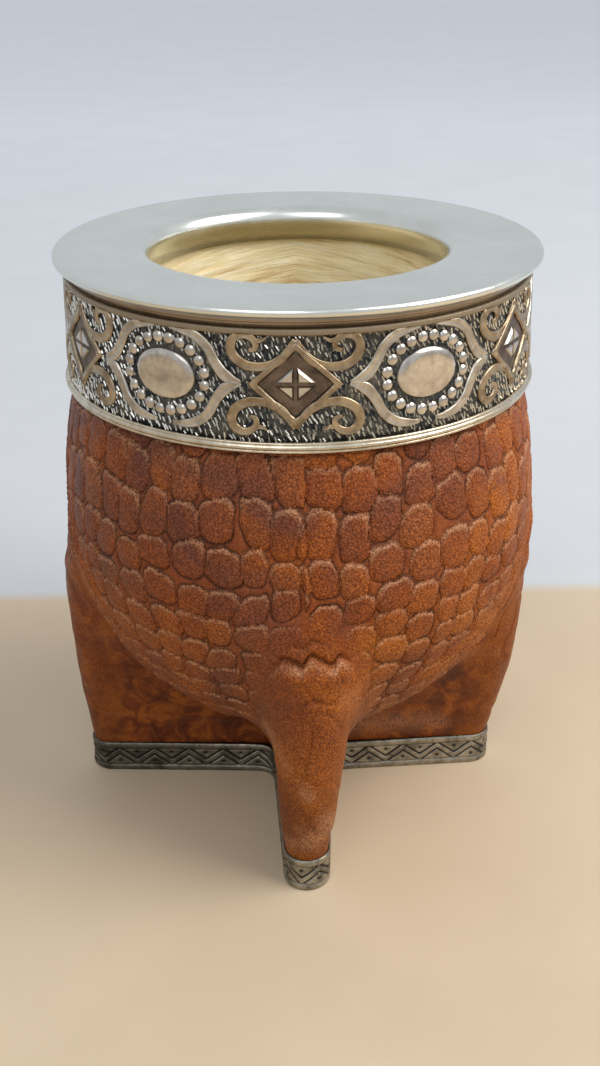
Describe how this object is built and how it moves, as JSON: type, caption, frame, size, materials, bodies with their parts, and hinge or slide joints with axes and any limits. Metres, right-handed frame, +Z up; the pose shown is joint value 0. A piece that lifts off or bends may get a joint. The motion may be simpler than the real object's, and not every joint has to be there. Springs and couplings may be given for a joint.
{
  "type": "mate gourd cup",
  "caption": "Leather-covered mate gourd with a wide metal lip, an engraved metal collar and leather fins standing in a metal foot band; empty.",
  "frame": {"origin": "on the standing surface, under the centre of the box round the whole cup", "axes": "+Z up out of the mouth, -Y towards the front fin, +X towards the right fin"},
  "size_m": [0.0978, 0.0984, 0.118],
  "materials": {
    "gourd_shell": "scraped dried gourd, dull straw yellow",
    "leather": "reddish tan leather embossed with large scales",
    "engraved_metal": "embossed nickel silver with darkened ground",
    "wire_metal": "bright rolled wire",
    "lip_metal": "spun nickel silver, softly polished",
    "foot_metal": "tarnished embossed strip"
  },
  "bodies": {
    "root": {"gourd_cup": "gourd_shell", "leather_cover": "leather", "engraved_collar": "engraved_metal", "wide_wire": "wire_metal", "thin_wire": "wire_metal", "lip_flange": "lip_metal", "foot_band": "foot_metal"}
  },
  "joints": []
}
